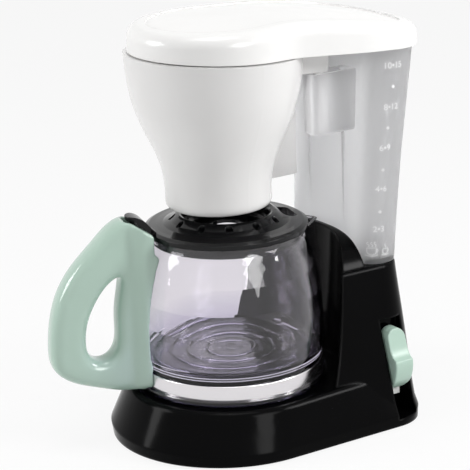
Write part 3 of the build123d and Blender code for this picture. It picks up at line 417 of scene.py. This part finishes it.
# partly the lid's own paler white, partly painted light: the brighter base stands in for light
# on the lid's rounded upper side
LID_WHITE_LIT = plastic("lid_white_lit", (0.93, 0.925, 0.915), 0.14, 0.06, tint=0.02)
INNER_WHITE = plastic("white_plastic", (0.80, 0.80, 0.785), 0.28, 0.08)
BLACK = plastic("black_gloss", (0.0014, 0.0014, 0.0016), 0.09, 0.05, tint=0.2, edge=1.8 * MM,
                Specular_IOR_Level=0.045)
BLACK_SHINE = plastic("black_shine", (0.0025, 0.0025, 0.003), 0.07, 0.05, tint=0.2,
                      edge=0.6 * MM, Specular_IOR_Level=0.26)
BLACK_MATT = plastic("black_matt", (0.012, 0.012, 0.013), 0.42, 0.1, tint=0.15)
MINT = plastic("mint_plastic", (0.45, 0.61, 0.52), 0.13, 0.05, edge=0.7 * MM,
               Coat_Weight=0.4, Coat_Roughness=0.06)
KNOB_MINT = plastic("mint_knob", (0.45, 0.61, 0.52), 0.3, 0.08, edge=0.7 * MM)
RUBBER = plastic("soft_rubber", (0.05, 0.05, 0.052), 0.6, 0.15, tint=0.2)
HOSE = clear_plastic("hose", (0.85, 0.87, 0.87), 0.2, 1.35, (0.75, 0.75, 0.75), 0.1)
CLEAR = clear_plastic("clear_plastic", (0.87, 0.85, 0.885), 0.0, 1.46, (0.86, 0.84, 0.9), 0.03,
                      rings=46.0)
FOOT = clear_plastic("violet_foot", (0.24, 0.22, 0.34), 0.02, 1.4, (0.45, 0.43, 0.52), 0.04)
TANK = frosted("frosted_tank", (0.81, 0.81, 0.815), (0.765, 0.765, 0.77), 0.44, 0.5, 0.85)
STEEL = metal("screw_steel", (0.62, 0.62, 0.64), 0.25, (1, 1, 6), 0.2 * MM)
FOIL = metal("bright_band", (0.74, 0.72, 0.74), 0.14, (1, 1, 18))
PRINT = printed("white_print", 0.94, 1.0)

dress(LID_WHITE_LIT, "tank_lid")
dress(WHITE, "filter_holder")
dress(INNER_WHITE, "pump_slider", "spray_spout", "pump_block")
dress(BLACK, "base_shell")
dress(BLACK_SHINE, "carafe_lid")
dress(BLACK_MATT, "bottom_cover")
dress(MINT, "carafe_handle")
dress(KNOB_MINT, "pump_knob")
dress(RUBBER, "rubber_feet", "pump_bellows", "tank_gaskets", "drip_valve")
dress(HOSE, "inlet_hose", "outlet_hose", "riser_tube")
dress(CLEAR, "carafe_bowl")
dress(FOOT, "carafe_foot")
dress(TANK, "water_tank")
dress(STEEL, "cover_screws", "valve_balls", "guide_post", "return_spring", "tank_screws",
      "lid_pin", "carafe_lid_pin")
dress(FOIL, "carafe_band")


# ---- helpers for the pieces -----------------------------------------------
def stand_for(piece, node):
    """Ride where the node rides, in its place, and hide the node."""
    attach(piece, NODES[node]["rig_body"])
    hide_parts(node)


def evaluated(piece):
    """The piece's mesh with its modifiers applied."""
    bpy.context.view_layer.update()
    graph = bpy.context.evaluated_depsgraph_get()
    return bpy.data.meshes.new_from_object(piece.evaluated_get(graph))


def search_tree(node):
    """Search tree of a node's faces, for rays."""
    mesh = NODES[node].data
    corners = [v.co for v in mesh.vertices]
    return BVHTree.FromPolygons(corners, [face.vertices for face in mesh.polygons])


def shortening(node):
    """The node's own shape as a piece of its own, on the node's body in place of the node."""
    piece = link(bpy.data.objects.new(f"{node}_soft", NODES[node].data.copy()))
    stand_for(piece, node)
    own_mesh(piece)


shortening("pump_bellows")
shortening("return_spring")

# ---- handle with its grip drawn out round ---------------------------------
GRIP_VOXEL = 0.5 * MM
GRIP_ROUNDS = 170
# makes up for what the smoothing takes off
GRIP_SWELL = 0.45 * MM
# distances to the carafe's axis between which the rounding comes in, and its share before that
GRIP_START = 0.050
GRIP_FULL = 0.060
EDGE_SHARE = 0.1


def round_handle(node):
    """The handle's own form with its grip drawn out round, inside the node's box."""
    piece = link(bpy.data.objects.new(f"{node}_form", NODES[node].data.copy()))
    grid = piece.modifiers.new("grid", "REMESH")
    grid.mode = "VOXEL"
    grid.voxel_size = GRIP_VOXEL
    piece.data = evaluated(piece)
    piece.modifiers.clear()
    group = piece.vertex_groups.new(name="soft")
    for v in piece.data.vertices:
        share = (math.hypot(v.co.x, v.co.y) - GRIP_START) / (GRIP_FULL - GRIP_START)
        share = min(max(share, 0.0), 1.0)
        weight = EDGE_SHARE + (1 - EDGE_SHARE) * share * share * (3 - 2 * share)
        group.add([v.index], weight, "REPLACE")
    soft = piece.modifiers.new("soft", "SMOOTH")
    soft.factor = 0.5
    soft.iterations = GRIP_ROUNDS
    soft.vertex_group = "soft"
    fuller = piece.modifiers.new("fuller", "DISPLACE")
    fuller.strength = GRIP_SWELL
    fuller.mid_level = 0.0
    fuller.vertex_group = "soft"
    made = evaluated(piece)
    piece.modifiers.clear()
    piece.vertex_groups.clear()
    piece.data = made
    low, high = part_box(node)
    for v in made.vertices:
        v.co = [min(max(c, a), b) for c, a, b in zip(v.co, low, high)]
    for face in made.polygons:
        face.use_smooth = True
    made.materials.clear()
    made.materials.append(MINT)
    stand_for(piece, node)


round_handle("carafe_handle")

# ---- turned ridges on the bowl's floor ------------------------------------
# radius, half width and height of each ridge in millimetres
RIDGES = ((12.5, 0.8, 0.5), (22.0, 0.9, 0.6), (31.0, 0.9, 0.6), (39.5, 1.1, 0.8))
RIDGE_STEPS = 96
RIDGE_POINTS = 8
RIDGE_GAP = 0.02 * MM
ABOVE_FLOOR = 0.07


def ridge_ring(bm, turn, radius, half, height, floor):
    """Half-round section of one ridge, at one turn about the carafe's axis."""
    ring = []
    for k in range(RIDGE_POINTS + 1):
        lean = math.pi * k / RIDGE_POINTS
        reach = (radius + half * math.cos(lean)) * MM
        ring.append(bm.verts.new((reach * math.cos(turn), reach * math.sin(turn),
                                  floor + height * MM * math.sin(lean))))
    return ring


def make_ridges():
    """Rounded rings that stand on the bowl's floor, about the carafe's axis."""
    down = search_tree("carafe_bowl").ray_cast(Vector((0, 0, ABOVE_FLOOR)), Vector((0, 0, -1)))
    floor = down[0].z + RIDGE_GAP
    bm = bmesh.new()
    for ridge in RIDGES:
        rings = [ridge_ring(bm, math.tau * step / RIDGE_STEPS, *ridge, floor)
                 for step in range(RIDGE_STEPS)]
        for step, ring in enumerate(rings):
            after = rings[(step + 1) % RIDGE_STEPS]
            for k in range(RIDGE_POINTS + 1):
                n = (k + 1) % (RIDGE_POINTS + 1)
                bm.faces.new((ring[k], after[k], after[n], ring[n]))
    bmesh.ops.recalc_face_normals(bm, faces=bm.faces)
    mesh = bpy.data.meshes.new("floor_ridges")
    bm.to_mesh(mesh)
    bm.free()
    for face in mesh.polygons:
        face.use_smooth = True
    mesh.materials.append(CLEAR)
    ridges = link(bpy.data.objects.new("floor_ridges", mesh))
    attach(ridges, NODES["carafe_bowl"]["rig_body"])


make_ridges()

# ---- level marks on the tank ----------------------------------------------
MARK_LIFT = 0.05 * MM
# rays start this far out on +X; edges longer than MARK_EDGE are cut, MARK_CUTS times
MARK_REACH = 0.08
MARK_EDGE = 0.9 * MM
MARK_CUTS = 2
DIGIT_WEIGHT = 0.06 * MM
DIGIT_SIZE = 4.3 * MM
# text, y and z of its middle in millimetres
LEVELS = (("10\u202215", 77.0, 183.1), ("8\u202212", 75.9, 162.0), ("6\u20229", 72.5, 141.2),
          ("4\u20226", 70.4, 119.9), ("2\u20223", 69.0, 98.8))
# y and z in millimetres
LEVEL_DOTS = ((77.0, 172.4), (74.0, 151.4), (71.3, 129.9), (69.6, 108.0))
DOT_R = 0.8 * MM
DOT_SIDES = 20
# y, z and width in millimetres, and lines of steam
CUPS = ((65.6, 87.2, 3.8, 3), (72.4, 86.6, 3.0, 1))
CUP_LINE = 0.42 * MM


def lay_on_tank(name, bm, tree):
    """Lay a flat print, drawn in (y, z), on the tank's +X side."""
    bmesh.ops.triangulate(bm, faces=bm.faces)
    for _ in range(MARK_CUTS):
        long_edges = [e for e in bm.edges if e.calc_length() > MARK_EDGE]
        if long_edges:
            bmesh.ops.subdivide_edges(bm, edges=long_edges, cuts=1)
            bmesh.ops.triangulate(bm, faces=bm.faces)
    for v in bm.verts:
        y, z = v.co.x, v.co.y
        hit, normal, _, _ = tree.ray_cast(Vector((MARK_REACH, y, z)), Vector((-1, 0, 0)))
        v.co = hit + normal * MARK_LIFT if hit else Vector((MARK_REACH / 2, y, z))
    mesh = bpy.data.meshes.new(name)
    bm.to_mesh(mesh)
    bm.free()
    mesh.materials.append(PRINT)
    mark = link(bpy.data.objects.new(name, mesh))
    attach(mark, NODES["water_tank"]["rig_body"])


def text_shape(body):
    """Flat outline mesh of a text, centred."""
    curve = bpy.data.curves.new("draft", "FONT")
    curve.body = body
    curve.size = DIGIT_SIZE
    curve.align_x = "CENTER"
    curve.align_y = "CENTER"
    curve.resolution_u = 4
    curve.offset = DIGIT_WEIGHT
    draft = link(bpy.data.objects.new("draft", curve))
    mesh = evaluated(draft)
    bpy.data.objects.remove(draft)
    bm = bmesh.new()
    bm.from_mesh(mesh)
    bpy.data.meshes.remove(mesh)
    return bm


def stroke(bm, points):
    """Flat ribbon along points drawn in (y, z)."""
    last = None
    for i, point in enumerate(points):
        before = Vector(points[max(i - 1, 0)])
        after = Vector(points[min(i + 1, len(points) - 1)])
        side = (after - before).normalized().orthogonal() * CUP_LINE / 2
        a = bm.verts.new((*(Vector(point) + side), 0))
        b = bm.verts.new((*(Vector(point) - side), 0))
        if last:
            bm.faces.new((last[0], a, b, last[1]))
        last = (a, b)


def arc(cx, cy, rx, ry, start, end, count=14):
    """Points on an ellipse, angles in degrees."""
    steps = [math.radians(start + (end - start) * i / count) for i in range(count + 1)]
    return [(cx + rx * math.cos(a), cy + ry * math.sin(a)) for a in steps]


def cup(bm, y, z, width, lines):
    """Cup with handle, saucer and steam."""
    half = width / 2
    left, right = (y - half, z + half), (y + half, z + half)
    stroke(bm, [left] + arc(y, z, half, half * 0.9, 180, 360) + [right, left])
    stroke(bm, arc(y + half, z + half * 0.2, half * 0.45, half * 0.45, -70, 80, 8))
    stroke(bm, arc(y, z - half * 0.75, half * 1.5, half * 0.5, 200, 340, 8))
    for i in range(lines):
        x0 = y + (i - (lines - 1) / 2) * half * 0.75
        stroke(bm, [(x0 + 0.25 * half * math.sin(t * 1.1), z + half * (1.35 + 0.22 * t))
                    for t in range(7)])


def make_marks():
    """White level numbers, dots and cups."""
    tree = search_tree("water_tank")
    for i, (body, y, z) in enumerate(LEVELS):
        bm = text_shape(body)
        bmesh.ops.translate(bm, verts=bm.verts, vec=(y * MM, z * MM, 0))
        lay_on_tank(f"level_number_{i}", bm, tree)
    for i, (y, z) in enumerate(LEVEL_DOTS):
        bm = bmesh.new()
        bmesh.ops.create_circle(bm, cap_ends=True, segments=DOT_SIDES, radius=DOT_R,
                                matrix=Matrix.Translation((y * MM, z * MM, 0)))
        lay_on_tank(f"level_dot_{i}", bm, tree)
    bm = bmesh.new()
    for y, z, width, lines in CUPS:
        cup(bm, y * MM, z * MM, width * MM, lines)
    lay_on_tank("level_cups", bm, tree)


make_marks()
